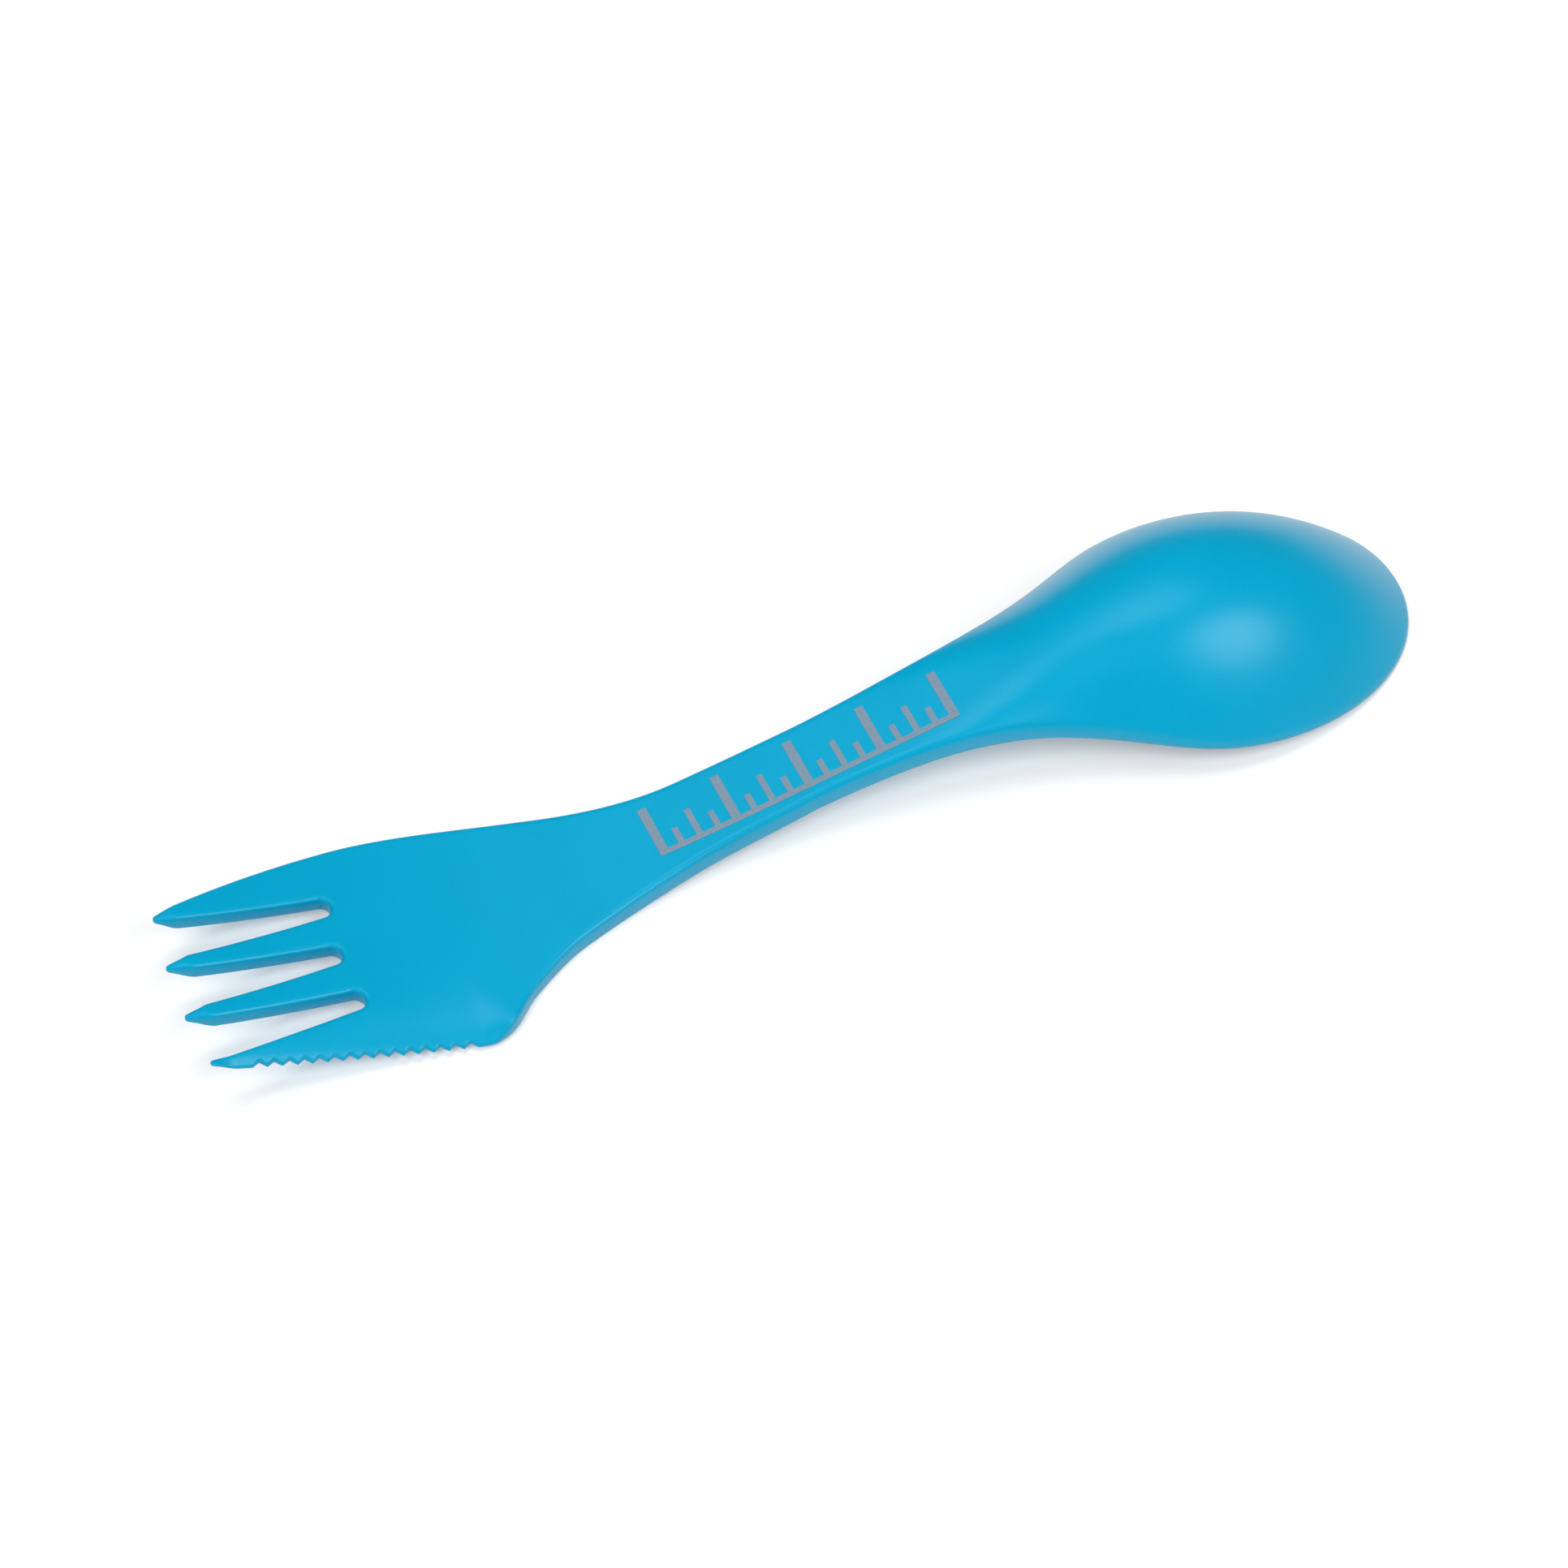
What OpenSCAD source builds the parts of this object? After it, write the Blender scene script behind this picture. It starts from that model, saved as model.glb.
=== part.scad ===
// Camping spork: one injection-moulded utensil with a spoon bowl at one end and, at the other, a
// four-tine fork whose outer tine carries a serrated cutting edge. A measuring scale is printed
// on the back of the handle.
// Frame: X runs from the tine tips (-X) to the tip of the bowl (+X), Y is sideways with the cutting
// edge at -Y, Z is up. The spork lies on its face, bowl downwards, as it rests on a table.
// The origin is the middle of its footprint, on the table.

/* [Overall] */
// Length from the tine tips to the tip of the bowl
total_length = 170; // [140:1:200]
// Height of the underside of the tine tips above the table
tine_rise = 6.5; // [3:0.1:9]
// Rise of the neck's arch above the table
neck_rise = 7.8; // [4:0.1:10]

/* [Spoon bowl] */
// Widest part of the bowl
spoon_width = 38.2; // [32:0.1:44]
// From the widest part of the bowl to its tip
bowl_nose = 26.5; // [18:0.1:30]
// Crown of the back of the bowl above its rim
bowl_crown = 14.3; // [9:0.1:18]
// Wall of the bowl at its middle
bowl_wall = 1.9; // [1.4:0.1:2.6]
// Flat land round the rim of the bowl
rim_land = 1.2; // [0.8:0.1:2]
// Height of the rim's outer edge
rim_height = 0.9; // [0.6:0.1:1.5]

/* [Handle] */
// Narrowest part of the handle
waist_width = 11.4; // [9:0.1:15]
// Thickness of the handle
handle_thickness = 3; // [2.4:0.1:4]
// Rounding of the handle's upper edges
edge_round = 0.8; // [0.3:0.1:1.2]

/* [Fork] */
// From the handle's axis to the plain edge of the fork head
plain_reach = 14.3; // [12:0.1:17]
// From the handle's axis to the corner of the cutting edge
knife_reach = 20; // [17:0.1:23]
// Thickness of the fork head and its tines
tine_thickness = 2.2; // [1.8:0.1:3]
// Rounding of the fork head's upper edges
head_round = 0.6; // [0.2:0.1:1]
// From the tine tips to the closed end of the middle slot
slot_length = 22.1; // [16:0.1:28]
// How much deeper the slot by the plain tine runs
slot_stagger = 1.5; // [0:0.1:2]
// Width of a slot at its closed end
slot_root_width = 2.7; // [2:0.1:4]
// Width of a middle tine at the closed ends of the slots
tine_width = 4.8; // [3.5:0.1:5]
// Width of a middle tine at its shoulders, where its point begins
shoulder_width = 2.4; // [1.5:0.1:3]
// Length of the point of a tine
point_length = 3.3; // [2:0.1:5]
// Width of the round nose of a tine
nose_width = 0.8; // [0.5:0.1:1.2]
// How far the underside of a tine rises at its nose
nose_lift = 0.8; // [0:0.1:1]

/* [Cutting edge] */
// Thickness of the cutting edge
knife_edge = 0.4; // [0.3:0.1:1]
// Pitch of the teeth
tooth_pitch = 1.87; // [1.5:0.01:2.3]
// Depth of the notches between the teeth
tooth_depth = 0.65; // [0.3:0.05:0.9]
// Number of notches
tooth_count = 15; // [8:1:16]
// From the tine tips to the first notch
first_notch = 6.2; // [5:0.1:9]

/* [Printed scale] */
// Length of the scale
scale_length = 40; // [30:1:50]
// From the tine tips to the start of the scale
scale_start = 65; // [60:1:75]
// Step between marks
scale_step = 2.5; // [2:0.5:5]
// Length of a full mark
long_mark = 7.4; // [5:0.1:8]
// Length of a half mark
middle_mark = 4.6; // [3:0.1:6]
// Length of a small mark
short_mark = 2.8; // [1.5:0.1:4]
// Width of a full mark
mark_width = 1.2; // [0.6:0.1:1.6]
// Width of a small mark and of the base line
fine_mark_width = 0.8; // [0.4:0.1:1.2]
// How far the ink stands above the plastic
ink_film = 0.06; // [0.04:0.01:0.15]
// How deep the ink is bedded in the grain of the plastic
ink_bed = 0.14; // [0.1:0.01:0.3]

/* [Hidden] */
$fn = 48;

plastic = [0, 0.62, 0.8];
ink = [0.55, 0.6, 0.66];

half_spoon = spoon_width / 2;
half_waist = waist_width / 2;
cut_over = handle_thickness; // overrun of every cut

// Places along the length: the fork head comes down to the table, and the neck rises and sinks.
tine_flat_share = 0.28;
neck_up_shares = [0.31, 0.7];
neck_down_shares = [0.58, 1];
// Places between which the flat handle's section turns into a dome's.
section_fade_shares = [0.49, 0.72];
// Places along the length between which the fork head runs into the handle, the handle's sides run
// down to the rim of the bowl, and the hollow deepens.
head_fade_shares = [0.16, 0.44];
rim_fade_shares = [0.56, 0.85];
hollow_fade_shares = [0.61, 0.74];

// Thickness of the tines at their tips, and how far back from there they have thinned.
point_thin_share = 0.4;
thin_length = point_length;

// Plain edge of the fork head: its reach beyond the waist at the tips, its widest place and its end.
plain_tip_reach_share = 0.53;
plain_widest_share = 0.155;
plain_end_share = 0.415;
// Cutting edge of the fork head: [place along the length, reach beyond the waist].
knife_edge_shares = [
    [0, 0.53], [0.1, 0.75], [0.2, 1], [0.21, 1], [0.225, 0.92], [0.25, 0.67], [0.3, 0.36],
    [0.4, 0.08], [0.5, 0]];
// The bowl from the waist to its widest part, as poles at even steps: the reach of its side beyond
// the waist, and the rise of its back.
bowl_side_shares = [0.02, 0.09, 0.24, 0.52, 0.93];
bowl_back_shares = [0, 0.02, 0.2, 0.6, 0.91];
waist_share = 0.5;
knife_start_share = 0.2;    // where the straight cutting edge ends
knife_fade_share = 0.225;   // where the bevel has run out
plain_tip_share = 0.012;    // how far the plain tine's tip lies back
second_tip_share = 0.004;
knife_tip_share = 0.0022;
knife_point_share = 0.5;    // the knife tine's point, as a share of the others'
plain_point_share = 0.65;

waist_x = total_length * waist_share;
widest_x = total_length - bowl_nose;
nose_power = 2;             // exponents of the bowl's plan, a superellipse
side_power = 2.1;
dome_power = 2.25;          // exponent of the bowl's section
handle_power = 10;          // exponent of the handle's section: flat with rounded edges
head_power = 16;
bevel_power = 6;            // exponent of the cutting side: a broad bevel

// Smooth curve through [place, value] pairs.
function pairs_at(rows, t) =
    let (n = len(rows) - 1, q = min(max(t, rows[0][0]), rows[n][0]),
         i = max([for (k = [0 : n - 1]) rows[k][0] <= q ? k : 0]),
         b = rows[i], c = rows[i + 1], a = rows[max(i - 1, 0)], d = rows[min(i + 2, n)],
         w = c[0] - b[0], ma = (c[1] - a[1]) / (c[0] - a[0]), mb = (d[1] - b[1]) / (d[0] - b[0]))
    hermite(b[1], c[1], ma * w, mb * w, (q - b[0]) / w);
function hermite(b, c, mb, mc, f) =
    b * (2 * f * f * f - 3 * f * f + 1) + mb * (f * f * f - 2 * f * f + f)
    + c * (3 * f * f - 2 * f * f * f) + mc * (f * f * f - f * f);
function blend(a, b, t) = a + (b - a) * t;
function ramp(t) = let (q = min(max(t, 0), 1)) q * q * (3 - 2 * q);
// A ramp whose curvature is even too, for the surfaces that shine.
function ease(t) = let (q = min(max(t, 0), 1)) q * q * q * (10 - q * (15 - 6 * q));

// Smooth curve from 0 to 1 that evenly spaced poles draw, level at both ends.
function drawn(poles, t) =
    let (last = len(poles) - 1, row = concat([-poles[0] / 2], poles, [(3 - poles[last]) / 2]),
         n = last + 2, q = min(max(t, 0), 1) * n, i = min(floor(q), n - 1), f = q - i,
         a = row[abs(i - 1)], b = row[i], c = row[i + 1], d = row[min(i + 2, 2 * n - i - 2)])
    (a * pow(1 - f, 3) + b * (3 * f * f * f - 6 * f * f + 4)
        + c * (1 + 3 * f + 3 * f * f - 3 * f * f * f) + d * f * f * f) / 6;

// Outline of the moulding seen from above, at x from the tine tips.
function bowl_t(x) = (x - waist_x) / (widest_x - waist_x);
function nose_t(x) = max(x - widest_x, 0) / bowl_nose;
function bowl_half(x) =
    x > widest_x
        ? half_spoon * pow(max(1 - pow(nose_t(x), nose_power), 0), 1 / side_power)
        : blend(half_waist, half_spoon, drawn(bowl_side_shares, bowl_t(x)));
function plain_edge(t) =
    t < plain_widest_share
        ? 1 - (1 - plain_tip_reach_share) * pow(1 - t / plain_widest_share, 2)
        : 1 - ramp((t - plain_widest_share) / (plain_end_share - plain_widest_share));
function edge_half(x, reach, edge) = x > waist_x ? bowl_half(x) : blend(half_waist, reach, edge);
function plain_half(x) = edge_half(x, plain_reach, plain_edge(x / total_length));
function knife_half(x) = edge_half(x, knife_reach, pairs_at(knife_edge_shares, x / total_length));
// Half width on the side that e is on: the cutting side where e is negative.
function side_half(x, e) = e < 0 ? knife_half(x) : plain_half(x);

// Sections. Each surface is a height over the plan; e runs from -1 at the cutting side to 1.
function base_z(x) =
    tine_rise * pow(max(1 - x / (tine_flat_share * total_length), 0), 2)
    + neck_rise * fade(neck_up_shares, x) * (1 - fade(neck_down_shares, x))
    + nose_lift * (1 - ramp(x / point_length));
function fade(shares, x) = ramp((x / total_length - shares[0]) / (shares[1] - shares[0]));
function head(x) = 1 - fade(head_fade_shares, x);
function rim(x) = fade(rim_fade_shares, x);
function bevel(x) =
    1 - ramp((x / total_length - knife_start_share) / (knife_fade_share - knife_start_share));
function plate_thickness(x) =
    blend(handle_thickness,
        tine_thickness * blend(point_thin_share, 1, ramp(x / thin_length)), head(x));
function plate_round(x) = blend(edge_round, head_round, head(x));
function side_height(x) = blend(plate_thickness(x) - plate_round(x), rim_height, rim(x));
function swell(shares, x) = ease((x / total_length - shares[0]) / (shares[1] - shares[0]));
function crown(x) = blend(plate_round(x), bowl_crown, drawn(bowl_back_shares, bowl_t(x)));
function section_power(x) =
    blend(blend(handle_power, head_power, head(x)), dome_power, swell(section_fade_shares, x));
// Distance from the bowl's middle, 1 at the rim, for a rim drawn in by the inset.
function reach_of(x, y, inset) =
    let (t = max(x - widest_x, 0) / (bowl_nose - inset),
         s = abs(y) / max(bowl_half(min(x, widest_x)) - inset, rim_land))
    pow(pow(t, nose_power) + pow(s, side_power), 1 / side_power);
function top_z(x, e) =
    let (r = x > widest_x ? min(reach_of(x, e * side_half(x, e), 0), 1) : abs(e),
         knife = e < 0 && x < waist_x ? bevel(x) : 0,
         side = blend(side_height(x), knife_edge, knife),
         rise = side_height(x) + crown(x) - side)
    base_z(x) + side + rise * (1 - pow(r, blend(section_power(x), bevel_power, knife)));
function hollow_z(x, y) =
    let (depth = (side_height(x) + crown(x) - bowl_wall) * fade(hollow_fade_shares, x),
         r = reach_of(x, y, rim_land))
    base_z(x) + (r < 1 ? depth * (1 - pow(r, dome_power)) : 0);
// Half width of the hollow's grid where the section's own half width is h. Past the hollow's end it
// runs on under the solid tip.
function hollow_half(x, h) =
    x < widest_x
        ? h - rim_land
        : max((half_spoon - rim_land) / half_spoon * bowl_half(x), h * land_share);
land_share = 0.3;

// Rings of points round each section, and the skin over them.
top_steps = 20;
low_steps = 14;
function spread(s) = sign(s) * (1 - pow(1 - abs(s), spread_power));
spread_power = 1.8;
head_step_share = 0.0125;
corner_step_share = 0.005;
nose_steps = 14;
nose_end_angle = 87.5;
stations = concat(
    [for (s = [0 : head_step_share : 0.1999]) s * total_length],
    [for (s = [0.2 : corner_step_share : 0.2799]) s * total_length],
    [for (s = [0.2875 : head_step_share : widest_x / total_length - corner_step_share])
        s * total_length],
    [for (k = [0 : nose_steps]) widest_x + bowl_nose * sin(nose_end_angle * k / nose_steps)]);
function ring(x) = concat(
    [for (k = [0 : top_steps])
        let (e = spread(2 * k / top_steps - 1)) [x, e * side_half(x, e), top_z(x, e)]],
    [[x, plain_half(x), base_z(x)]],
    [for (k = [0 : low_steps])
        let (e = 1 - 2 * k / low_steps, y = e * hollow_half(x, side_half(x, e)))
        [x, y, hollow_z(x, y)]],
    [[x, -knife_half(x), base_z(x)]]);

module skin() {
    n = top_steps + low_steps + 4;
    m = len(stations);
    points = [for (x = stations) each ring(x)];
    sides = [
        for (i = [0 : m - 2]) for (j = [0 : n - 1])
            let (a = i * n + j, b = i * n + (j + 1) % n, c = a + n, d = b + n)
            each [[a, b, c], [b, d, c]]];
    // each end cap is a strip between the top row and the row below it
    function cap(o, flip) = [
        for (j = [1 : n - 2]) flip ? [o, o + j, o + j + 1] : [o, o + j + 1, o + j]];
    polyhedron(points, concat(sides, cap(0, false), cap((m - 1) * n, true)), convexity = 8);
}

// Tines, counted from the plain side: tip, and the shoulders where its point begins.
tip_xs = [plain_tip_share, second_tip_share, 0, knife_tip_share] * total_length;
shoulder_xs = [
    tip_xs[0] + point_length * plain_point_share, tip_xs[1] + point_length, tip_xs[2] + point_length,
    tip_xs[3] + point_length * knife_point_share];
// The slots share out the width of the head, at the tips and at their closed ends.
mouth_pitch_share = 0.342;
slot_shift_share = 0.285;
mouth_pitch = (plain_half(0) + knife_half(0)) * mouth_pitch_share;
root_pitch = slot_root_width + tine_width;
slot_mouth_width = mouth_pitch - shoulder_width;
slot_shift = (knife_reach - plain_reach) * slot_shift_share;
function mouth_y(k) = (1 - k) * mouth_pitch - slot_shift;
function root_y(k) = (1 - k) * root_pitch - slot_shift;
// Sides of each tine at its shoulders, and the middle of its nose.
function upper_side(k) =
    k == 0 ? plain_half(shoulder_xs[0]) : mouth_y(k - 1) - slot_mouth_width / 2;
function lower_side(k) = k == 3 ? -knife_half(shoulder_xs[3]) : mouth_y(k) + slot_mouth_width / 2;
function tip_y(k) = (upper_side(k) + lower_side(k)) / 2;
function nose_radius(k) = min(nose_width, (upper_side(k) - lower_side(k)) * nose_share) / 2;
nose_share = 0.6;

// One side of a tine's point, upper (1) or lower (-1), from the front of its nose to its shoulder.
nose_turn = 60;             // how far round the nose its arc runs on each side
arc_steps = 4;
point_steps = 4;
point_power = 0.85;         // below 1, the sides of a point are slightly full
function point_side(k, side) =
    let (r = nose_radius(k), shoulder_y = side > 0 ? upper_side(k) : lower_side(k),
         start = nose_point(k, side, r, 1))
    concat(
        [for (i = [0 : arc_steps]) nose_point(k, side, r, i / arc_steps)],
        [for (i = [1 : point_steps]) let (t = i / point_steps)
            [blend(start[0], shoulder_xs[k], t), blend(start[1], shoulder_y, pow(t, point_power))]]);
function nose_point(k, side, r, t) =
    [tip_xs[k] + r * (1 - cos(nose_turn * t)), tip_y(k) + side * r * sin(nose_turn * t)];
function reversed(row) = [for (i = [len(row) - 1 : -1 : 0]) row[i]];

cut_depth = tine_rise + nose_lift + tine_thickness + 2 * cut_over;
module cutter() translate([0, 0, -cut_over]) linear_extrude(cut_depth) children();
// Slot k runs between tines k and k + 1: a tapering gap with a round closed end.
module slot(k) {
    end_x = slot_length + (k == 0 ? slot_stagger : 0) - slot_root_width / 2;
    cutter() union() {
        polygon(concat(
            [[-cut_over, tip_y(k)]], point_side(k, -1),
            [[end_x, root_y(k) + slot_root_width / 2], [end_x, root_y(k) - slot_root_width / 2]],
            reversed(point_side(k + 1, 1)), [[-cut_over, tip_y(k + 1)]]));
        translate([end_x, root_y(k)]) circle(d = slot_root_width);
    }
}
// Trims the outer side of the first and last tines' points.
module outer_point(k, side) {
    edge_y = side > 0 ? upper_side(k) : lower_side(k);
    cutter() polygon(concat(
        [[-cut_over, tip_y(k)]], point_side(k, side),
        [[shoulder_xs[k], edge_y + side * cut_over], [-cut_over, edge_y + side * cut_over]]));
}

knife_run = knife_start_share * total_length;
knife_lean = atan((knife_half(knife_run) - knife_half(0)) / knife_run);
notch_share = 0.94;
notch_width = tooth_pitch * notch_share;
module notch(k) {
    x = first_notch + k * tooth_pitch * cos(knife_lean);
    cutter() translate([x, -knife_half(x)]) rotate(-knife_lean)
        polygon([[0, tooth_depth], [notch_width, -tooth_depth], [-notch_width, -tooth_depth]]);
}

// The middle of the footprint: half-way along, and half-way between the two widest points.
middle_x = total_length / 2;
middle_y = (half_spoon - knife_reach) / 2;
module in_place() translate([-middle_x, -middle_y, 0]) children();

module spork_moulding() color(plastic) in_place() difference() {
    skin();
    for (k = [0 : 2]) slot(k);
    outer_point(0, 1);
    outer_point(3, -1);
    for (k = [0 : tooth_count - 1]) notch(k);
}

// Height of the handle's back over the middle of its width.
function back_z(x) = base_z(x) + side_height(x) + crown(x);
// A printed mark from x1 to x2 and from y1 to y2, bedded in the back of the handle.
module mark(x1, x2, y1, y2, steps = 1) {
    xs = [for (i = [0 : steps]) blend(x1, x2, i / steps)];
    points = [for (x = xs) each [
        [x, y1, back_z(x) - ink_bed], [x, y2, back_z(x) - ink_bed],
        [x, y2, back_z(x) + ink_film], [x, y1, back_z(x) + ink_film]]];
    n = 4 * steps;
    polyhedron(points, concat(
        [[0, 1, 2], [0, 2, 3], [n, n + 2, n + 1], [n, n + 3, n + 2]],
        [for (i = [0 : steps - 1]) for (j = [0 : 3])
            let (a = 4 * i + j, b = 4 * i + (j + 1) % 4) each [[a, a + 4, b], [b, a + 4, b + 4]]]));
}
scale_y = -long_mark / 2;
mark_count = floor(scale_length / scale_step);
module handle_scale() color(ink) in_place() union() {
    mark(scale_start - mark_width / 2, scale_start + scale_length + mark_width / 2,
        scale_y - fine_mark_width / 2, scale_y + fine_mark_width / 2, 2 * mark_count);
    for (i = [0 : mark_count]) {
        full = i % 4 == 0;
        half = i % 4 == 2;
        w = full ? mark_width : fine_mark_width;
        x = scale_start + i * scale_step;
        reach = full ? long_mark : half ? middle_mark : short_mark;
        mark(x - w / 2, x + w / 2, scale_y, scale_y + reach);
    }
}

spork_moulding();
handle_scale();
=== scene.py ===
import math

import bpy
import numpy as np
from mathutils import Matrix, Vector
from mathutils.geometry import delaunay_2d_cdt


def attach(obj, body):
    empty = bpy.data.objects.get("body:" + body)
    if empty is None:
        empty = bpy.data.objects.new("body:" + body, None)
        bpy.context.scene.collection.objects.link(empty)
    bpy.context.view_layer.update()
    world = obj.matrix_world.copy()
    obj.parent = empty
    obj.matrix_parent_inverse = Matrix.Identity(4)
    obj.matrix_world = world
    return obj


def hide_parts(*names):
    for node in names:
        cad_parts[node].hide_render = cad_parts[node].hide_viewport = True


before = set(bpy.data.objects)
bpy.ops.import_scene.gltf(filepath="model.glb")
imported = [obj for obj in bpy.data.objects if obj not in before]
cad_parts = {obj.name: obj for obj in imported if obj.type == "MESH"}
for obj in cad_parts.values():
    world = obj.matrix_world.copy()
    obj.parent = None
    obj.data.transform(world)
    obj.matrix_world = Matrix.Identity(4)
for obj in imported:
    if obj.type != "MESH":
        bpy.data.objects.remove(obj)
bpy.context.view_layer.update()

# Sizes of the moulding, in millimetres. Lengths start at the tips of the tines, reaches at the
# handle's axis and heights at the table.
MM = 0.001
TOTAL_LENGTH = 170
TINE_RISE = 6.5
NECK_RISE = 7.8
SPOON_WIDTH = 38.2
BOWL_NOSE = 26.5            # from the widest part of the bowl to its round end
BOWL_CROWN = 14.3
BOWL_WALL = 1.9
RIM_LAND = 1.2
RIM_HEIGHT = 0.9
RIM_ROUND = 0.45
WAIST_WIDTH = 11.4
HANDLE_THICKNESS = 3
EDGE_ROUND = 0.8
PLAIN_REACH = 14.3          # the side of the fork head without teeth
KNIFE_REACH = 20            # the side with teeth
TINE_THICKNESS = 2.2
HEAD_ROUND = 0.7
PLATE_ROUND = 0.6
SLOT_LENGTH = 22.1
SLOT_STAGGER = 1.5          # how much further the slot on the plain side reaches
SLOT_ROOT_WIDTH = 2.7
TINE_WIDTH = 4.8
SHOULDER_WIDTH = 2.4
POINT_LENGTH = 3.3
NOSE_WIDTH = 0.8
NOSE_LIFT = 0.8
KNIFE_EDGE = 0.4
TOOTH_PITCH = 1.87
TOOTH_DEPTH = 0.65
TOOTH_COUNT = 15
FIRST_NOTCH = 6.2
LOWER_ROUND = 0.25          # rounding of the edges that lie on the parting line
HOLLOW_ROUND = 0.5          # softening where the hollow of the bowl meets its land

# Places, as shares of the total length. A pair says where a change starts and where it ends.
TINE_FLAT_SHARE = 0.28
NECK_UP_SHARES = [0.31, 0.7]
NECK_DOWN_SHARES = [0.58, 1]
SECTION_FADE_SHARES = [0.49, 0.72]
HEAD_FADE_SHARES = [0.16, 0.44]
RIM_FADE_SHARES = [0.56, 0.85]
HOLLOW_FADE_SHARES = [0.61, 0.74]
KNIFE_FADE_SHARES = [0.2, 0.225]
WAIST_SHARE = 0.5
PLAIN_WIDEST_SHARE = 0.155
PLAIN_END_SHARE = 0.415
TIP_SHARES = [0.012, 0.004, 0, 0.0022]

# Shares of other sizes.
PLAIN_TIP_REACH_SHARE = 0.53
POINT_SHARES = [0.65, 1, 1, 0.5]
POINT_THIN_SHARE = 0.4
MOUTH_PITCH_SHARE = 0.342
SLOT_SHIFT_SHARE = 0.285
NOSE_SHARE = 0.6
NOTCH_SHARE = 0.94
TOP_ROUND_LIMIT = 0.4       # the most that a rounding may take of the thickness of its edge
LOWER_ROUND_LIMIT = 0.2

# The cutting edge, as pairs of a share of the total length and a share of its reach.
KNIFE_EDGE_SHARES = [
    [0, 0.53], [0.1, 0.75], [0.2, 1], [0.21, 1], [0.225, 0.92], [0.25, 0.67], [0.3, 0.36],
    [0.4, 0.08], [0.5, 0]]
# The bowl from the waist to its widest part, as poles at even steps.
BOWL_SIDE_SHARES = [0.02, 0.09, 0.24, 0.52, 0.93]
BOWL_BACK_SHARES = [0, 0.02, 0.2, 0.6, 0.91]

# Powers of the rounded shapes.
NOSE_POWER = 2
SIDE_POWER = 2.1
DOME_POWER = 2.25
PLATE_POWER = 10
BEVEL_POWER = 6
POINT_POWER = 0.85

# Fineness of the mesh, in millimetres or in steps.
RIM_STEP = 0.35
GRID_STEP = 0.8
SAME_PLACE = 0.00001
SAME_RIM_POINT = RIM_STEP / 50
INSETS = [0.04, 0.1, 0.18, 0.28, 0.4, 0.55, 0.75, 1.0, 1.35]
FULL_ROWS = 6               # rows that keep every point of the outline; the others keep half
INSET_KEPT = 0.985          # the share of its inset that each point of a row has to keep
NOSE_TURN = math.radians(60)    # how far round each side of a tine's nose goes
NOSE_STEPS = 6
POINT_STEPS = 8
SLOT_END_STEPS = 24
BOWL_END_STEPS = 180
POINTS_AT_ONCE = 2000
INSIDE_ONLY = 1             # the kind of mesh that is filled into the outline
CREASE_ANGLE = math.radians(38)

TINE_COUNT = 4
HALF_SPOON = SPOON_WIDTH / 2
HALF_WAIST = WAIST_WIDTH / 2
WAIST_X = TOTAL_LENGTH * WAIST_SHARE
WIDEST_X = TOTAL_LENGTH - BOWL_NOSE
KNIFE_END_X = TOTAL_LENGTH * KNIFE_FADE_SHARES[0]
MIDDLE = np.array([TOTAL_LENGTH / 2, (HALF_SPOON - KNIFE_REACH) / 2])


# Smooth steps and curves, for numbers and for whole arrays.
def blend(a, b, t):
    return a + (b - a) * t


def ramp(t):
    t = np.clip(t, 0, 1)
    return t * t * (3 - 2 * t)


def fade(shares, x):
    return ramp((x / TOTAL_LENGTH - shares[0]) / (shares[1] - shares[0]))


def swell(shares, x):
    """A fade that also starts and ends without a jump in curvature, for surfaces that shine."""
    t = np.clip((x / TOTAL_LENGTH - shares[0]) / (shares[1] - shares[0]), 0, 1)
    return t**3 * (10 - t * (15 - 6 * t))


def curve(pairs, t):
    """Smooth curve through [place, value] pairs."""
    place, value = np.array(pairs, float).T
    outer = np.diff(value) / np.diff(place)
    inner = (value[2:] - value[:-2]) / (place[2:] - place[:-2])
    slope = np.concatenate([outer[:1], inner, outer[-1:]])
    t = np.clip(t, place[0], place[-1])
    i = np.clip(np.searchsorted(place, t, side="right") - 1, 0, len(place) - 2)
    width = place[i + 1] - place[i]
    f = (t - place[i]) / width
    return (value[i] * (2 * f**3 - 3 * f**2 + 1) + slope[i] * width * (f**3 - 2 * f**2 + f)
            + value[i + 1] * (3 * f**2 - 2 * f**3) + slope[i + 1] * width * (f**3 - f**2))


def drawn(poles, t):
    """Smooth curve from 0 to 1 that evenly spaced poles draw, level at both ends."""
    row = np.array([-poles[0] / 2, *poles, (3 - poles[-1]) / 2])
    n = len(row) - 1
    q = np.clip(t, 0, 1) * n
    i = np.minimum(np.floor(q).astype(int), n - 1)
    f = q - i
    a, b, c, d = row[np.abs(i - 1)], row[i], row[i + 1], row[np.minimum(i + 2, 2 * n - i - 2)]
    return (a * (1 - f) ** 3 + b * (3 * f**3 - 6 * f**2 + 4)
            + c * (1 + 3 * f + 3 * f**2 - 3 * f**3) + d * f**3) / 6


# The outline of the moulding, seen from above.
def bowl_share(x):
    """0 at the waist, 1 at the widest part of the bowl."""
    return (x - WAIST_X) / (WIDEST_X - WAIST_X)


def bowl_half(x):
    nose = np.clip((x - WIDEST_X) / BOWL_NOSE, 0, 1)
    side = drawn(BOWL_SIDE_SHARES, bowl_share(x))
    round_end = HALF_SPOON * (1 - nose**NOSE_POWER) ** (1 / SIDE_POWER)
    return np.where(x > WIDEST_X, round_end, blend(HALF_WAIST, HALF_SPOON, side))


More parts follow.
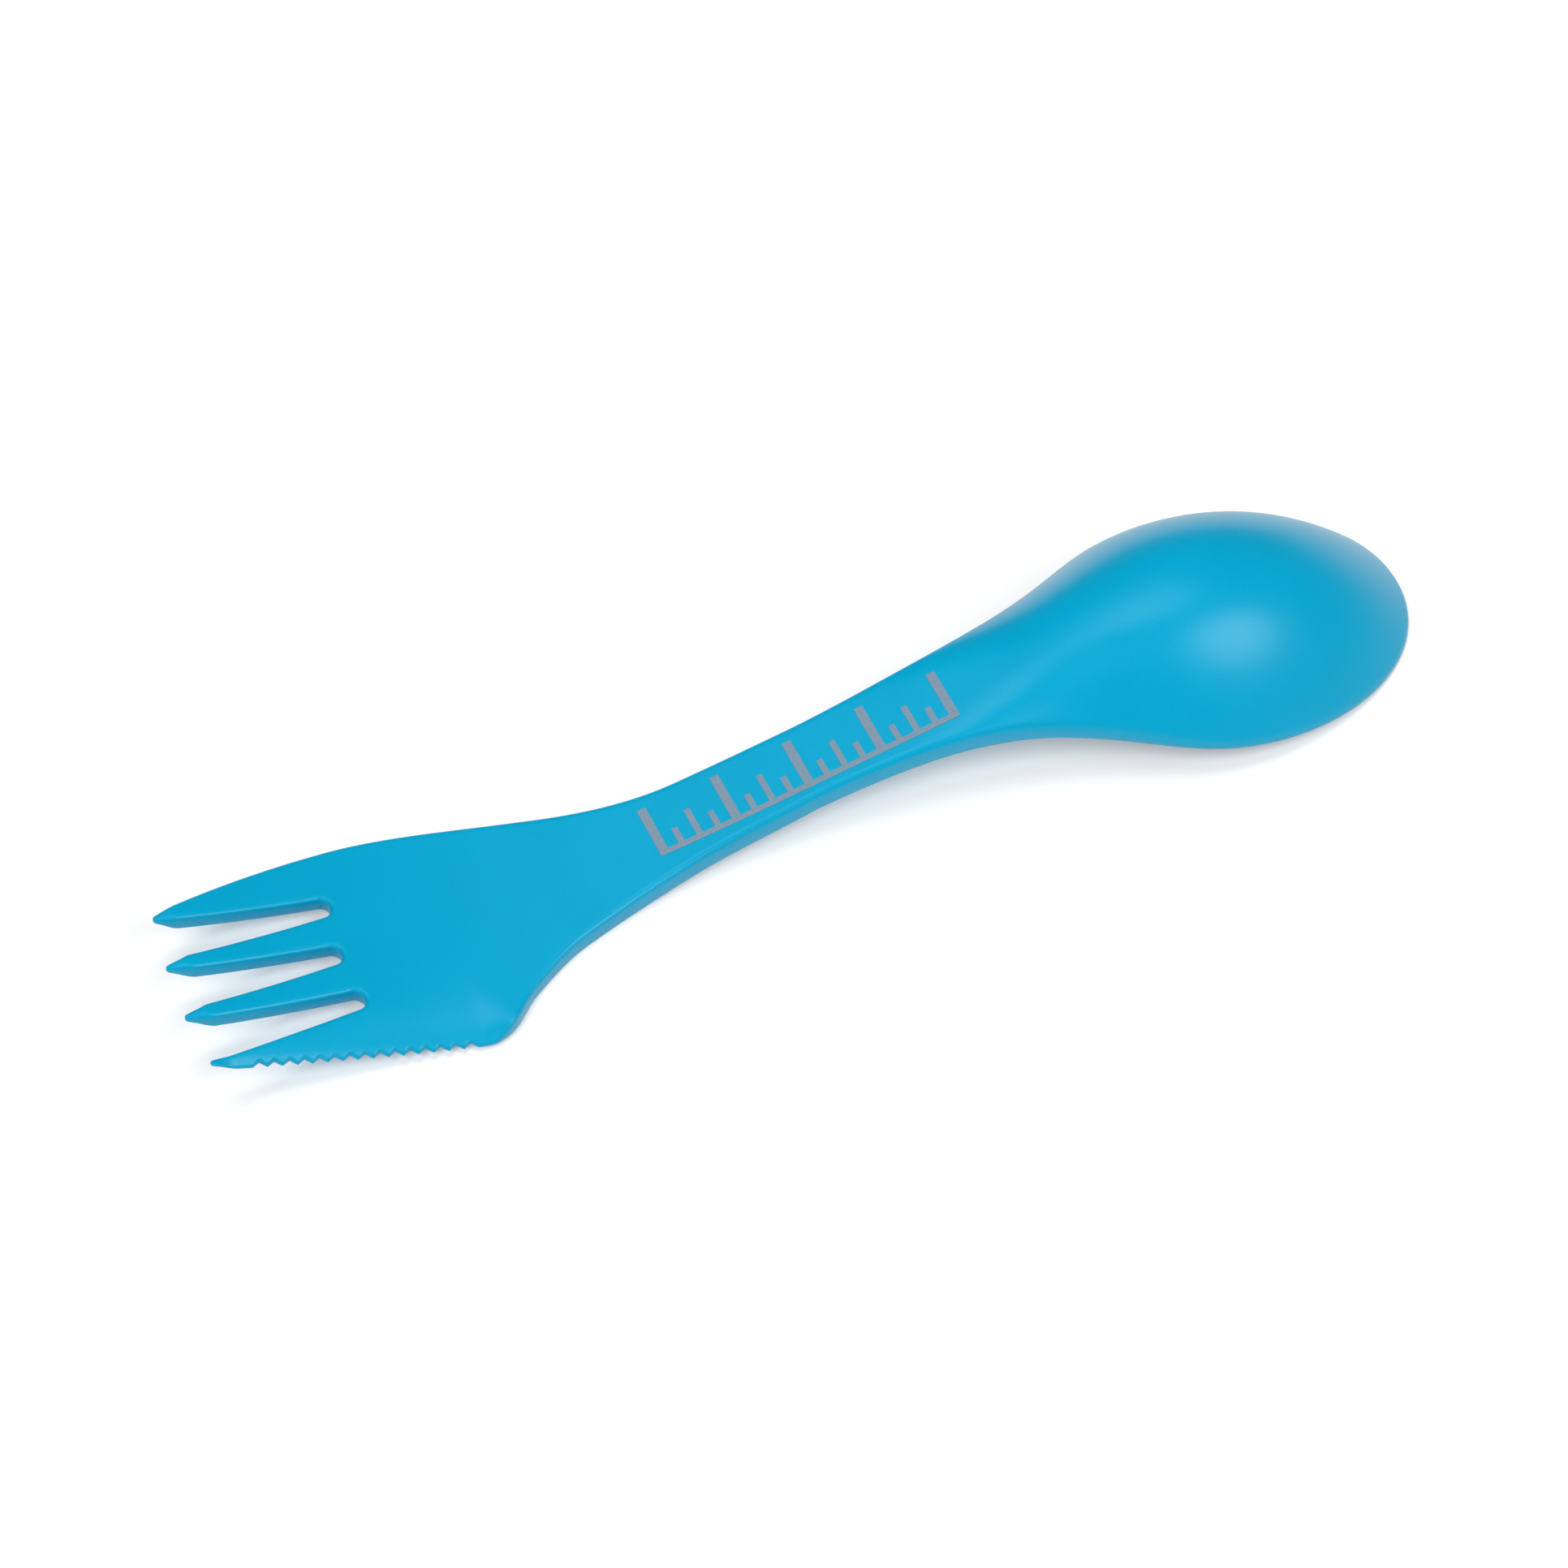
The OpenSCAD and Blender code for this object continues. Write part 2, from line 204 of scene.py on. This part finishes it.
def plain_half(x):
    """Reach of the side without teeth."""
    x = np.asarray(x, float)
    t = x / TOTAL_LENGTH
    front = 1 - (1 - PLAIN_TIP_REACH_SHARE) * (1 - t / PLAIN_WIDEST_SHARE) ** 2
    back = 1 - ramp((t - PLAIN_WIDEST_SHARE) / (PLAIN_END_SHARE - PLAIN_WIDEST_SHARE))
    edge = blend(HALF_WAIST, PLAIN_REACH, np.where(t < PLAIN_WIDEST_SHARE, front, back))
    return np.where(x > WAIST_X, bowl_half(x), edge)


def knife_half(x):
    """Reach of the side with teeth."""
    x = np.asarray(x, float)
    edge = blend(HALF_WAIST, KNIFE_REACH, curve(KNIFE_EDGE_SHARES, x / TOTAL_LENGTH))
    return np.where(x > WAIST_X, bowl_half(x), edge)


# Tines and slots are counted from the plain side, starting at 0.
TIP_XS = [share * TOTAL_LENGTH for share in TIP_SHARES]
SHOULDER_XS = [tip + share * POINT_LENGTH for tip, share in zip(TIP_XS, POINT_SHARES)]
MOUTH_PITCH = float(plain_half(0) + knife_half(0)) * MOUTH_PITCH_SHARE
ROOT_PITCH = SLOT_ROOT_WIDTH + TINE_WIDTH
MOUTH_WIDTH = MOUTH_PITCH - SHOULDER_WIDTH
SLOT_SHIFT = (KNIFE_REACH - PLAIN_REACH) * SLOT_SHIFT_SHARE


def mouth_y(slot):
    return (1 - slot) * MOUTH_PITCH - SLOT_SHIFT


def root_y(slot):
    return (1 - slot) * ROOT_PITCH - SLOT_SHIFT


def shoulder_y(tine, side):
    """Edge of a tine at its shoulders: side 1 is away from the cutting edge, -1 towards it."""
    if side > 0 and tine == 0:
        return float(plain_half(SHOULDER_XS[0]))
    if side < 0 and tine == TINE_COUNT - 1:
        return -float(knife_half(SHOULDER_XS[-1]))
    slot = tine - 1 if side > 0 else tine
    return mouth_y(slot) - side * MOUTH_WIDTH / 2


TIP_YS = [(shoulder_y(k, 1) + shoulder_y(k, -1)) / 2 for k in range(TINE_COUNT)]


def point_side(tine, side):
    """One side of a tine's point, from the front of its round nose to its shoulder."""
    radius = min(NOSE_WIDTH, (shoulder_y(tine, 1) - shoulder_y(tine, -1)) * NOSE_SHARE) / 2
    turns = [NOSE_TURN * i / NOSE_STEPS for i in range(NOSE_STEPS + 1)]
    arc = [(TIP_XS[tine] + radius * (1 - math.cos(turn)),
            TIP_YS[tine] + side * radius * math.sin(turn)) for turn in turns]
    x, y = arc[-1]
    shares = [i / POINT_STEPS for i in range(1, POINT_STEPS + 1)]
    rest = [(blend(x, SHOULDER_XS[tine], share),
             blend(y, shoulder_y(tine, side), share**POINT_POWER)) for share in shares]
    return arc + rest


def slot_end(slot):
    """Round closed end of a slot, from its upper to its lower side."""
    radius = SLOT_ROOT_WIDTH / 2
    x = SLOT_LENGTH + (SLOT_STAGGER if slot == 0 else 0) - radius
    angles = [math.radians(90 - 180 * i / SLOT_END_STEPS) for i in range(SLOT_END_STEPS + 1)]
    return [(x + radius * math.cos(a), root_y(slot) + radius * math.sin(a)) for a in angles]


def teeth():
    """Notches of the cutting edge, from the tines towards the handle."""
    lean = math.atan((knife_half(KNIFE_END_X) - knife_half(0)) / KNIFE_END_X)
    along = np.array([math.cos(lean), -math.sin(lean)]) * TOOTH_PITCH * NOTCH_SHARE / 2
    inward = np.array([math.sin(lean), math.cos(lean)]) * TOOTH_DEPTH
    points = []
    for k in range(TOOTH_COUNT):
        x = FIRST_NOTCH + k * TOOTH_PITCH * math.cos(lean)
        middle = np.array([x, -float(knife_half(x))])
        points += [middle - along, middle + inward, middle + along]
    return points


def edge_run(start, end, side):
    """The outer edge between two places along the length, in short steps."""
    count = max(int(abs(end - start) / RIM_STEP), 1)
    xs = np.linspace(start, end, count + 1)
    ys = plain_half(xs) if side > 0 else -knife_half(xs)
    return list(zip(xs, ys))


def bowl_end():
    """Round end of the bowl, from its widest place by the cutting side round to the other."""
    angles = np.linspace(-math.pi / 2, math.pi / 2, BOWL_END_STEPS + 1)
    xs = WIDEST_X + BOWL_NOSE * np.abs(np.cos(angles)) ** (2 / NOSE_POWER)
    ys = HALF_SPOON * np.sign(angles) * np.abs(np.sin(angles)) ** (2 / SIDE_POWER)
    return list(zip(xs, ys))


def outline():
    """The whole outline, anticlockwise, as one closed row of points."""
    run = edge_run(WIDEST_X, SHOULDER_XS[0], 1)
    for tine in range(TINE_COUNT):
        run += point_side(tine, 1)[::-1]
        run += point_side(tine, -1)
        if tine < TINE_COUNT - 1:
            run += slot_end(tine)
    notches = teeth()
    run += edge_run(SHOULDER_XS[-1], notches[0][0] - RIM_STEP, -1)
    run += notches
    run += edge_run(notches[-1][0] + RIM_STEP, WIDEST_X, -1)
    run += bowl_end()
    return even_steps(np.array(run, float))


def even_steps(points):
    """Drops doubled points and splits long steps, keeping the corners."""
    following = np.roll(points, -1, 0)
    points = points[np.linalg.norm(following - points, axis=1) > SAME_RIM_POINT]
    row = []
    for a, b in zip(points, np.roll(points, -1, 0)):
        count = max(int(math.ceil(np.linalg.norm(b - a) / RIM_STEP)), 1)
        row += [a + (b - a) * i / count for i in range(count)]
    return np.array(row)


# Heights over the plan.
def tip_line(y):
    """Where the tines' tips lie, at a place across the head."""
    order = np.argsort(TIP_YS)
    return np.interp(y, np.array(TIP_YS)[order], np.array(TIP_XS)[order])


def base_height(x, y):
    """Height of the underside: lifted tines, the arch of the neck and the tips' own lift."""
    rise = (TINE_RISE * np.maximum(1 - x / (TINE_FLAT_SHARE * TOTAL_LENGTH), 0) ** 2
            + NECK_RISE * fade(NECK_UP_SHARES, x) * (1 - fade(NECK_DOWN_SHARES, x)))
    return rise + NOSE_LIFT * (1 - ramp((x - tip_line(y)) / POINT_LENGTH))


def rim_share(x):
    """0 on the handle, 1 where the bowl's rim is fully formed."""
    return fade(RIM_FADE_SHARES, x)


def head(x):
    """1 on the fork head, 0 on the handle and the bowl."""
    return 1 - fade(HEAD_FADE_SHARES, x)


def plate_thickness(x, y):
    thin = blend(POINT_THIN_SHARE, 1, ramp((x - tip_line(y)) / POINT_LENGTH))
    return blend(HANDLE_THICKNESS, TINE_THICKNESS * thin, head(x))


def plate_crown(x):
    """How much higher the middle of the flat parts is than their sides."""
    return blend(EDGE_ROUND, PLATE_ROUND, head(x))


def side_height(x, y):
    return blend(plate_thickness(x, y) - plate_crown(x), RIM_HEIGHT, rim_share(x))


def crown(x):
    return blend(plate_crown(x), BOWL_CROWN, drawn(BOWL_BACK_SHARES, bowl_share(x)))


def bowl_reach(x, y, inset):
    """Distance from the middle of the bowl, 1 at a rim drawn in by the inset."""
    along = np.maximum(x - WIDEST_X, 0) / (BOWL_NOSE - inset)
    across = np.abs(y) / np.maximum(bowl_half(np.minimum(x, WIDEST_X)) - inset, RIM_LAND)
    return (along**NOSE_POWER + across**SIDE_POWER) ** (1 / SIDE_POWER)


def top_height(x, y):
    """Upper surface before its edges are rounded."""
    half = np.where(y < 0, knife_half(x), plain_half(x))
    reach = np.where(x > WIDEST_X, bowl_reach(x, y, 0), np.abs(y) / np.maximum(half, RIM_LAND))
    bevel = np.where((y < 0) & (x < WAIST_X), 1 - fade(KNIFE_FADE_SHARES, x), 0)
    middle = side_height(x, y) + crown(x)
    edge = blend(blend(plate_thickness(x, y), RIM_HEIGHT, rim_share(x)), KNIFE_EDGE, bevel)
    power = blend(PLATE_POWER, DOME_POWER, swell(SECTION_FADE_SHARES, x))
    power = blend(power, BEVEL_POWER, bevel)
    return base_height(x, y) + edge + (middle - edge) * (1 - np.minimum(reach, 1) ** power)


def lower_height(x, y):
    """Under surface before its edges are rounded: the flat underside and the hollow of the bowl."""
    depth = (side_height(x, y) + crown(x) - BOWL_WALL) * fade(HOLLOW_FADE_SHARES, x)
    raw = depth * (1 - bowl_reach(x, y, RIM_LAND) ** DOME_POWER)
    soft = HOLLOW_ROUND * ramp(depth / BOWL_WALL)
    return base_height(x, y) + (raw + np.sqrt(raw**2 + soft**2)) / 2


def rounding(distance, radius):
    """How far a surface drops at a distance inside an edge of that radius."""
    short = np.maximum(radius - distance, 0)
    return radius - np.sqrt(np.maximum(radius**2 - short**2, 0))


# The mesh of the moulding.
def edge_distance(points, rim):
    """Distance of each point from the outline, and the outline point that is nearest."""
    nearest = np.zeros(len(points), int)
    for rows in np.array_split(np.arange(len(points)), len(points) // POINTS_AT_ONCE + 1):
        gaps = points[rows, None, :] - rim[None, :, :]
        nearest[rows] = np.einsum("ijk,ijk->ij", gaps, gaps).argmin(1)
    best = np.full(len(points), np.inf)
    for shift in (-1, 0):
        a = rim[(nearest + shift) % len(rim)]
        b = rim[(nearest + shift + 1) % len(rim)]
        step = b - a
        t = np.einsum("ij,ij->i", points - a, step) / np.einsum("ij,ij->i", step, step)
        foot = a + step * np.clip(t, 0, 1)[:, None]
        best = np.minimum(best, np.linalg.norm(points - foot, axis=1))
    return best, nearest


def lie_inside(points, rim):
    """Which points lie inside the outline, by counting the edges that a ray crosses."""
    inside = np.zeros(len(points), bool)
    for a, b in zip(rim, np.roll(rim, -1, 0)):
        crosses = (a[1] > points[:, 1]) != (b[1] > points[:, 1])
        if a[1] != b[1]:
            x = a[0] + (points[:, 1] - a[1]) * (b[0] - a[0]) / (b[1] - a[1])
            inside ^= crosses & (points[:, 0] < x)
    return inside


def inner_points(rim):
    """Rows of points that follow the outline just inside it, then an even grid."""
    forward = np.roll(rim, -1, 0) - np.roll(rim, 1, 0)
    normal = np.stack([-forward[:, 1], forward[:, 0]], 1)
    normal /= np.linalg.norm(normal, axis=1)[:, None]
    rows = []
    for i, inset in enumerate(INSETS):
        row = (rim + normal * inset)[::1 if i < FULL_ROWS else 2]
        distance, _ = edge_distance(row, rim)
        rows.append(row[distance > inset * INSET_KEPT])
    low, high = rim.min(0), rim.max(0)
    xs = np.arange(low[0], high[0], GRID_STEP)
    ys = np.arange(low[1], high[1], GRID_STEP * math.sqrt(3) / 2)
    grid = np.array([(x + GRID_STEP / 2 * (j % 2), y) for j, y in enumerate(ys) for x in xs])
    distance, _ = edge_distance(grid, rim)
    inside = lie_inside(grid, rim) & (distance > INSETS[-1] + GRID_STEP / 2)
    return np.concatenate(rows + [grid[inside]])


def moulding_mesh():
    """The whole moulding as one closed mesh: upper and under surface, and the wall between."""
    rim = outline()
    plan = np.concatenate([rim, inner_points(rim)])
    edges = [(i, (i + 1) % len(rim)) for i in range(len(rim))]
    verts, _, faces, origin, _, _ = delaunay_2d_cdt(
        [Vector(p) for p in plan], edges, [], INSIDE_ONLY, SAME_PLACE)
    points = np.array([tuple(v) for v in verts])
    place = {k: i for i, row in enumerate(origin) for k in row}
    loop = [place[i] for i in range(len(rim))]

    distance, nearest = edge_distance(points, rim)
    distance[loop] = 0
    x, y = points.T
    edge_thickness = (top_height(*rim.T) - lower_height(*rim.T))[nearest]
    plate = blend(EDGE_ROUND, HEAD_ROUND, head(x))
    top_round = np.minimum(blend(plate, RIM_ROUND, rim_share(x)), edge_thickness * TOP_ROUND_LIMIT)
    lower_round = np.minimum(LOWER_ROUND, edge_thickness * LOWER_ROUND_LIMIT)
    top = top_height(x, y) - rounding(distance, top_round)
    low = lower_height(x, y) + rounding(distance, lower_round)

    count = len(points)
    coords = np.concatenate([np.stack([x, y, top], 1), np.stack([x, y, low], 1)])
    polygons = [tuple(face) for face in faces]
    polygons += [tuple(i + count for i in reversed(face)) for face in faces]
    for a, b in zip(loop, loop[1:] + loop[:1]):
        polygons.append((a, a + count, b + count, b))
    return (coords - [*MIDDLE, 0]) * MM, polygons


def make_object(name, coords, polygons):
    mesh = bpy.data.meshes.new(name)
    mesh.from_pydata([tuple(c) for c in coords], [], polygons)
    mesh.validate()
    mesh.shade_smooth()
    mesh.set_sharp_from_angle(angle=CREASE_ANGLE)
    made = bpy.data.objects.new(name, mesh)
    bpy.context.scene.collection.objects.link(made)
    return made


# Shader maths, written as sums.
class Wire:
    """The output of a node, which takes part in a sum as a number does."""

    def __init__(self, maker, socket):
        self.maker = maker
        self.socket = socket

    def math(self, operation, *values):
        return self.maker.node("ShaderNodeMath", {"operation": operation}, values)

    def __add__(self, other):
        return self.math("ADD", self, other)

    def __radd__(self, other):
        return self.math("ADD", other, self)

    def __sub__(self, other):
        return self.math("SUBTRACT", self, other)

    def __rsub__(self, other):
        return self.math("SUBTRACT", other, self)

    def __mul__(self, other):
        return self.math("MULTIPLY", self, other)

    def __rmul__(self, other):
        return self.math("MULTIPLY", other, self)

    def fade(self, low, high):
        """0 below low, 1 above high and smooth between."""
        return self.maker.node(
            "ShaderNodeMapRange", {"interpolation_type": "SMOOTHSTEP"},
            {"Value": self, "From Min": low, "From Max": high})


# The mixing node has several sockets of each name, so its colour sockets go by number.
MIX_FACTOR = 0
MIX_FIRST = 6
MIX_SECOND = 7
MIX_RESULT = 2


class Finish:
    """A material, or the world, and the nodes that make it."""

    def __init__(self, owner):
        owner.use_nodes = True
        self.tree = owner.node_tree
        self.tree.nodes.clear()

    def node(self, kind, settings=None, values=(), output=0):
        made = self.tree.nodes.new(kind)
        for name, value in (settings or {}).items():
            setattr(made, name, value)
        pairs = values.items() if isinstance(values, dict) else enumerate(values)
        for key, value in pairs:
            if isinstance(value, Wire):
                self.tree.links.new(value.socket, made.inputs[key])
            else:
                made.inputs[key].default_value = value
        return Wire(self, made.outputs[output]) if made.outputs else None

    def colours(self, factor, first, second):
        """Mix of two colours: the first where the factor is 0, the second where it is 1."""
        return self.node(
            "ShaderNodeMix", {"data_type": "RGBA"},
            {MIX_FACTOR: factor, MIX_FIRST: first, MIX_SECOND: second}, MIX_RESULT)

    def surface(self, shader):
        self.node("ShaderNodeOutputMaterial", None, {"Surface": shader})


def rgb(red, green, blue):
    return (red, green, blue, 1)


def material(name):
    made = bpy.data.materials.new(name)
    return made, Finish(made)


# The middle part of a noise, which is where nearly all of it lies.
NOISE_SPREAD = (0.3, 0.7)


def spark_grain(f, place, strength, depth):
    """Fine even grain of a spark-eroded mould, and the bump that it gives."""
    grain = f.node("ShaderNodeTexNoise", None,
                   {"Vector": place, "Scale": 3600, "Detail": 2, "Roughness": 0.6})
    bump = f.node("ShaderNodeBump", None,
                  {"Strength": strength, "Distance": depth, "Height": grain})
    return grain, bump


def moulded_plastic():
    """Turquoise polypropylene, semi-matt, with a faint cloudiness under the grain."""
    made, f = material("turquoise_polypropylene")
    place = f.node("ShaderNodeTexCoord", output="Object")
    grain, bump = spark_grain(f, place, strength=0.45, depth=0.00003)
    cloud = f.node("ShaderNodeTexNoise", None,
                   {"Vector": place, "Scale": 90, "Detail": 3, "Roughness": 0.5})
    mottle = 0.6 * grain.fade(*NOISE_SPREAD) + 0.4 * cloud.fade(*NOISE_SPREAD)
    tint = f.colours(mottle, rgb(0, 0.35, 0.58), rgb(0, 0.38, 0.63))
    f.surface(f.node("ShaderNodeBsdfPrincipled", None, {
        "Base Color": tint, "Roughness": 0.29 + 0.04 * cloud, "Normal": bump, "IOR": 1.45,
        "Specular Tint": rgb(0.75, 1, 1)}))
    return made


def pad_print():
    """Flat grey ink, which shows the grain under it a little."""
    made, f = material("grey_pad_print")
    place = f.node("ShaderNodeTexCoord", output="Object")
    grain, bump = spark_grain(f, place, strength=0.25, depth=0.00002)
    tint = f.colours(grain.fade(*NOISE_SPREAD), rgb(0.19, 0.28, 0.37), rgb(0.22, 0.31, 0.4))
    f.surface(f.node("ShaderNodeBsdfPrincipled", None,
                     {"Base Color": tint, "Roughness": 0.5, "Normal": bump}))
    return made


SEEING_RAYS = ["Is Camera Ray", "Is Glossy Ray", "Is Transmission Ray"]


def table_top():
    """White table, lifted towards white wherever it is seen, so that its shadows stay pale."""
    made, f = material("white_table")
    seen = sum(f.node("ShaderNodeLightPath", output=ray) for ray in SEEING_RAYS)
    tint = f.colours(seen, rgb(0.9, 0.9, 0.9), rgb(0.75, 0.75, 0.75))
    lift = f.colours(seen, rgb(0, 0, 0), rgb(0.28, 0.28, 0.28))
    f.surface(f.node("ShaderNodeBsdfPrincipled", None, {
        "Base Color": tint, "Roughness": 0.9, "Emission Color": lift,
        "Emission Strength": 1}))
    return made


# The camera: which way it looks, at what, from how far and through which lens. The slide moves it
# sideways and up without turning it.
LOOK_TURN = math.radians(24.537)
LOOK_DOWN = math.radians(52)
LOOK_AT = Vector((-0.971, 0.45, 4.046)) * MM
CAMERA_DISTANCE = 910.3 * MM
LENS = 165.8
RIGHT = Vector((math.cos(LOOK_TURN), -math.sin(LOOK_TURN), 0))
TOWARDS = Vector((-math.sin(LOOK_TURN) * math.cos(LOOK_DOWN),
                  -math.cos(LOOK_TURN) * math.cos(LOOK_DOWN), math.sin(LOOK_DOWN)))
UP = TOWARDS.cross(RIGHT)
SLIDE = RIGHT * (-0.867 * MM) + UP * (-0.615 * MM)

# Half the side of the table, in metres.
TABLE_REACH = 4

# Name, direction from the object, distance and width in metres, power, and whether it is mirrored.
SOFTBOXES = [
    ("top_softbox", (0, 0.25, 1), 3, 1.75, 42, False),
    ("front_left_softbox", (-0.5, -0.35, 0.79), 3, 1.75, 48, False),
    ("side_softbox", (0.465, -0.54, 0.707), 0.9, 0.52, 2.8, True)]


def make_camera():
    data = bpy.data.cameras.new("camera")
    data.lens = LENS
    data.sensor_width = 36
    data.clip_start = 0.01
    data.clip_end = 20
    made = bpy.data.objects.new("camera", data)
    bpy.context.scene.collection.objects.link(made)
    axes = Matrix((RIGHT, UP, TOWARDS)).transposed().to_4x4()
    made.matrix_world = Matrix.Translation(LOOK_AT + SLIDE + TOWARDS * CAMERA_DISTANCE) @ axes
    bpy.context.scene.camera = made


def make_softbox(name, direction, distance, size, energy, mirrored):
    lamp = bpy.data.lights.new(name, "AREA")
    lamp.shape = "DISK"
    lamp.size = size
    lamp.energy = energy
    made = bpy.data.objects.new(name, lamp)
    bpy.context.scene.collection.objects.link(made)
    made.visible_glossy = mirrored
    direction = Vector(direction).normalized()
    made.location = direction * distance
    made.rotation_mode = "QUATERNION"
    made.rotation_quaternion = direction.to_track_quat("Z", "Y")


def make_lights():
    for softbox in SOFTBOXES:
        make_softbox(*softbox)
    world = bpy.data.worlds.new("studio")
    bpy.context.scene.world = world
    f = Finish(world)
    shader = f.node("ShaderNodeBackground", None, {"Color": rgb(1, 1, 1), "Strength": 0.05})
    f.node("ShaderNodeOutputWorld", None, {"Surface": shader})


def make_table():
    far = TABLE_REACH
    made = make_object(
        "table", [(-far, -far, 0), (far, -far, 0), (far, far, 0), (-far, far, 0)],
        [(0, 1, 2, 3)])
    made.data.materials.append(table_top())


def make_moulding():
    made = make_object("spork_body", *moulding_mesh())
    made.data.materials.append(moulded_plastic())
    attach(made, "spork")
    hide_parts("spork_moulding")


def finish_print():
    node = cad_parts["handle_scale"]
    node.data.materials.clear()
    node.data.materials.append(pad_print())


make_camera()
make_lights()
make_table()
make_moulding()
finish_print()
bpy.context.scene.view_settings.view_transform = "Standard"
